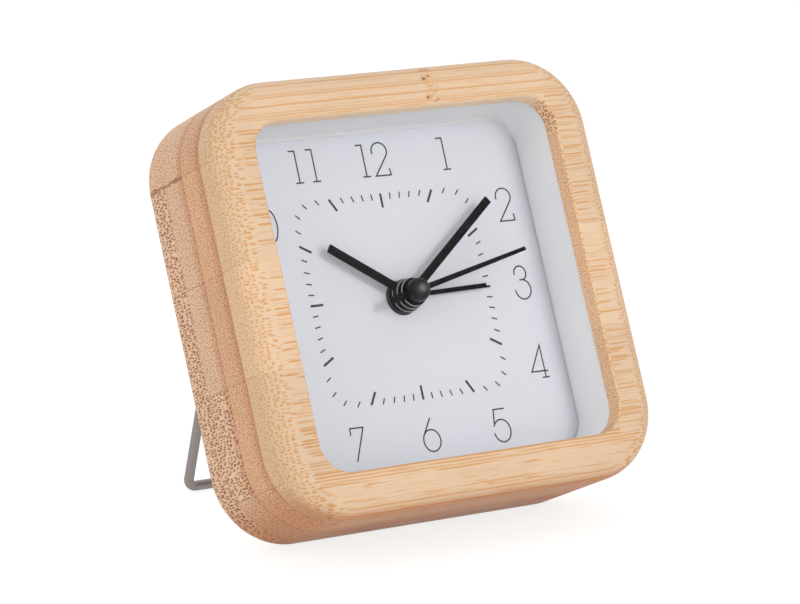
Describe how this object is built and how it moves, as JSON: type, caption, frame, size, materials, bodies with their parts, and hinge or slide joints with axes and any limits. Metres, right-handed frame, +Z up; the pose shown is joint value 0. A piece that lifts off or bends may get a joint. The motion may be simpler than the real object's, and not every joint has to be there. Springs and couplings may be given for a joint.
{
  "type": "desk alarm clock",
  "caption": "Square bamboo alarm clock with a white numbered dial, leaning back on a folding wire stand, with its quartz movement, battery, setting knobs and alarm switch.",
  "frame": {"origin": "on the table, in the middle of the clock's footprint", "axes": "+Z up, -Y out of the dial's side towards the reader, +X to the reader's right"},
  "size_m": [0.099, 0.078, 0.1017],
  "materials": {
    "bamboo": "satin",
    "lens_glass": "polished",
    "white_plastic": "fine moulded",
    "dial_white": "matt printed",
    "black_hand": "satin black",
    "grey_wire": "satin grey",
    "back_plastic": "fine spark-eroded texture",
    "knob_plastic": "moulded",
    "switch_plastic": "moulded",
    "movement_plastic": "moulded",
    "wheel_nylon": "moulded",
    "magnet": "bonded",
    "soft_iron": "stamped",
    "copper": "enamelled",
    "board": "solder mask",
    "chip_black": "potted",
    "tin": "drawn",
    "cell_jacket": "printed jacket",
    "contact_metal": "nickel plated",
    "screw_steel": "zinc plated"
  },
  "bodies": {
    "clock": {"bamboo_case": "bamboo", "lens": "lens_glass", "inner_bezel": "white_plastic", "dial": "dial_white", "rear_cover": "back_plastic", "rear_cover_screws": "screw_steel", "movement_front_shell": "movement_plastic", "movement_middle_plate": "movement_plastic", "movement_back_plate": "movement_plastic", "movement_screws": "screw_steel", "stator": "soft_iron", "coil_core": "soft_iron", "coil_bobbin": "white_plastic", "coil_winding": "copper", "circuit_board": "board", "timing_chip": "chip_black", "quartz_crystal": "tin", "alarm_switch_body": "movement_plastic", "buzzer": "movement_plastic", "battery_cell": "cell_jacket", "negative_contact": "contact_metal", "positive_contact": "contact_metal"},
    "stand": {"wire_stand": "grey_wire"},
    "door": {"battery_door": "back_plastic"},
    "switch": {"alarm_switch_slider": "switch_plastic"},
    "alarm": {"alarm_wheel": "wheel_nylon", "alarm_hand": "black_hand"},
    "alarm_setter": {"alarm_set_shaft": "wheel_nylon", "alarm_set_knob": "knob_plastic"},
    "minute": {"cannon_pinion": "wheel_nylon", "minute_hand": "black_hand"},
    "hour": {"hour_wheel": "wheel_nylon", "hour_hand": "black_hand"},
    "motion": {"minute_wheel": "wheel_nylon"},
    "time_setter": {"time_set_shaft": "wheel_nylon", "time_set_knob": "knob_plastic"},
    "second": {"seconds_wheel": "wheel_nylon", "second_hand": "black_hand", "hand_cap": "black_hand"},
    "third": {"third_wheel": "wheel_nylon"},
    "centre": {"centre_wheel": "wheel_nylon"},
    "intermediate": {"intermediate_wheel": "wheel_nylon"},
    "rotor": {"rotor": "magnet"}
  },
  "joints": [
    {"name": "stand_fold", "type": "hinge", "parent": "clock", "child": "stand", "pos_m": [0, 0.02081, 0.06034], "axis": [1, 0, 0], "range_deg": [-41.1, 0]},
    {"name": "door_open", "type": "hinge", "parent": "clock", "child": "door", "pos_m": [0, 0.0007, 0.02294], "axis": [1, 0, 0], "range_deg": [0, 95]},
    {"name": "alarm_switch_slide", "type": "slide", "parent": "clock", "child": "switch", "axis": [1, 0, 0], "range_m": [0, 0.003]},
    {"name": "minute_spin", "type": "hinge", "parent": "clock", "child": "minute", "pos_m": [0, 0.00076, 0.04895], "axis": [0, 0.9061, -0.423], "continuous": true},
    {"name": "hour_spin", "type": "hinge", "parent": "clock", "child": "hour", "pos_m": [0, -0.00046, 0.04952], "axis": [0, 0.9061, -0.423], "continuous": true},
    {"name": "minute_wheel_spin", "type": "hinge", "parent": "clock", "child": "motion", "pos_m": [-0.0052, 0.00203, 0.05167], "axis": [0, 0.9061, -0.423], "continuous": true},
    {"name": "time_knob_spin", "type": "hinge", "parent": "clock", "child": "time_setter", "pos_m": [-0.01158, 0.00296, 0.05366], "axis": [0, 0.9061, -0.423], "continuous": true},
    {"name": "second_spin", "type": "hinge", "parent": "clock", "child": "second", "pos_m": [0, 0.00697, 0.04606], "axis": [0, 0.9061, -0.423], "continuous": true},
    {"name": "intermediate_spin", "type": "hinge", "parent": "clock", "child": "intermediate", "pos_m": [0.00811, 0.00514, 0.04215], "axis": [0, 0.9061, -0.423], "continuous": true},
    {"name": "rotor_spin", "type": "hinge", "parent": "clock", "child": "rotor", "pos_m": [0.01389, 0.00359, 0.0452], "axis": [0, 0.9061, -0.423], "continuous": true},
    {"name": "third_spin", "type": "hinge", "parent": "clock", "child": "third", "pos_m": [0, 0.00963, 0.05494], "axis": [0, 0.9061, -0.423], "continuous": true},
    {"name": "centre_spin", "type": "hinge", "parent": "clock", "child": "centre", "pos_m": [0, 0.0033, 0.04777], "axis": [0, 0.9061, -0.423], "continuous": true},
    {"name": "alarm_spin", "type": "hinge", "parent": "clock", "child": "alarm", "pos_m": [0, -0.00169, 0.05009], "axis": [0, 0.9061, -0.423], "continuous": true},
    {"name": "alarm_knob_spin", "type": "hinge", "parent": "clock", "child": "alarm_setter", "pos_m": [0.00961, 0.00047, 0.05472], "axis": [0, 0.9061, -0.423], "continuous": true}
  ],
  "couplings": [
    {"joint": "hour_spin", "follows": "minute_spin", "ratio": 0.083333},
    {"joint": "minute_wheel_spin", "follows": "minute_spin", "ratio": -0.33333},
    {"joint": "time_knob_spin", "follows": "minute_spin", "ratio": 0.66667},
    {"joint": "intermediate_spin", "follows": "second_spin", "ratio": -5},
    {"joint": "rotor_spin", "follows": "second_spin", "ratio": 30},
    {"joint": "third_spin", "follows": "second_spin", "ratio": -0.13333},
    {"joint": "centre_spin", "follows": "second_spin", "ratio": 0.016667},
    {"joint": "alarm_knob_spin", "follows": "alarm_spin", "ratio": -3}
  ]
}
